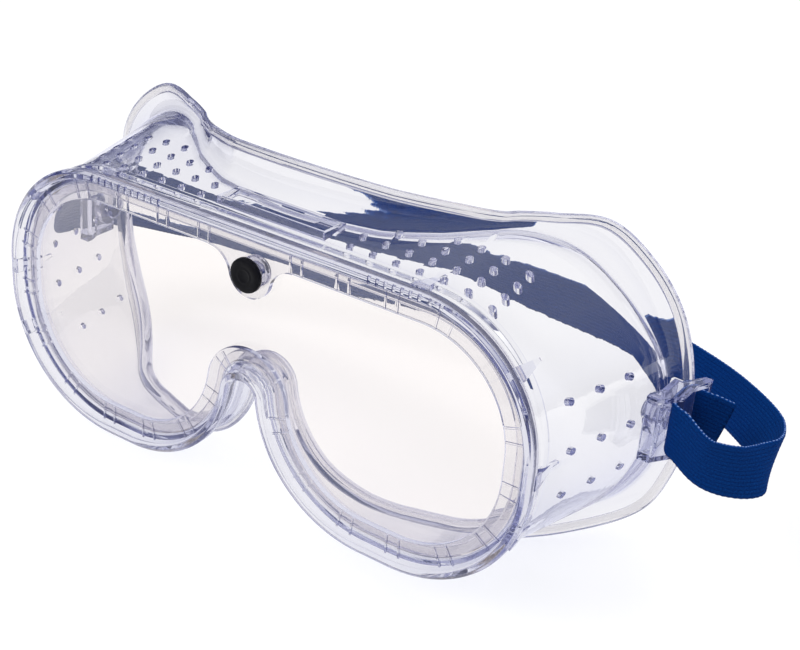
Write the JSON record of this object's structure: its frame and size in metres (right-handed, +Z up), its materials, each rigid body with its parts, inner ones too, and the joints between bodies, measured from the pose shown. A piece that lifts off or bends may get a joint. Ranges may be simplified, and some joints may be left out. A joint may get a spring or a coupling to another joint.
{
  "type": "safety goggles",
  "caption": "School lab safety goggles: soft clear vented frame, flat clear lens, black lens stud, swivelling strap clips and a blue elastic strap",
  "frame": {"origin": "middle of the flat front of the rim bead, over the nose; Y = 0 is the plane of that flat front", "axes": "+X is the wearer's left, -Y is the way the wearer looks, +Z is up"},
  "size_m": [0.2452, 0.0976, 0.0905],
  "materials": {
    "soft_clear": "clear flexible PVC with a faint blue-violet cast, glossy",
    "lens_clear": "clear polished polycarbonate sheet",
    "clip_clear": "clear moulded polycarbonate, glossy",
    "black_plastic": "satin black moulded plastic",
    "blue_elastic": "navy blue knitted elastic webbing"
  },
  "bodies": {
    "frame": {"frame_body": "soft_clear", "lens": "lens_clear", "lens_stud": "black_plastic", "stud_socket": "clip_clear", "left_clip_pin": "clip_clear", "right_clip_pin": "clip_clear"},
    "strap": {"strap": "blue_elastic"},
    "left_clip": {"left_strap_clip": "clip_clear"},
    "right_clip": {"right_strap_clip": "clip_clear"}
  },
  "joints": [
    {"name": "strap_swing", "type": "hinge", "parent": "frame", "child": "strap", "pos_m": [0, 0.0465, 0.006], "axis": [1, 0, 0], "range_deg": [-25, 25]},
    {"name": "left_clip_turn", "type": "hinge", "parent": "frame", "child": "left_clip", "pos_m": [0.0952, 0.0465, 0.006], "axis": [1, 0, 0], "range_deg": [-25, 25]},
    {"name": "right_clip_turn", "type": "hinge", "parent": "frame", "child": "right_clip", "pos_m": [-0.0952, 0.0465, 0.006], "axis": [1, 0, 0], "range_deg": [-25, 25]}
  ],
  "couplings": [
    {"joint": "left_clip_turn", "follows": "strap_swing", "ratio": 1},
    {"joint": "right_clip_turn", "follows": "strap_swing", "ratio": 1}
  ]
}
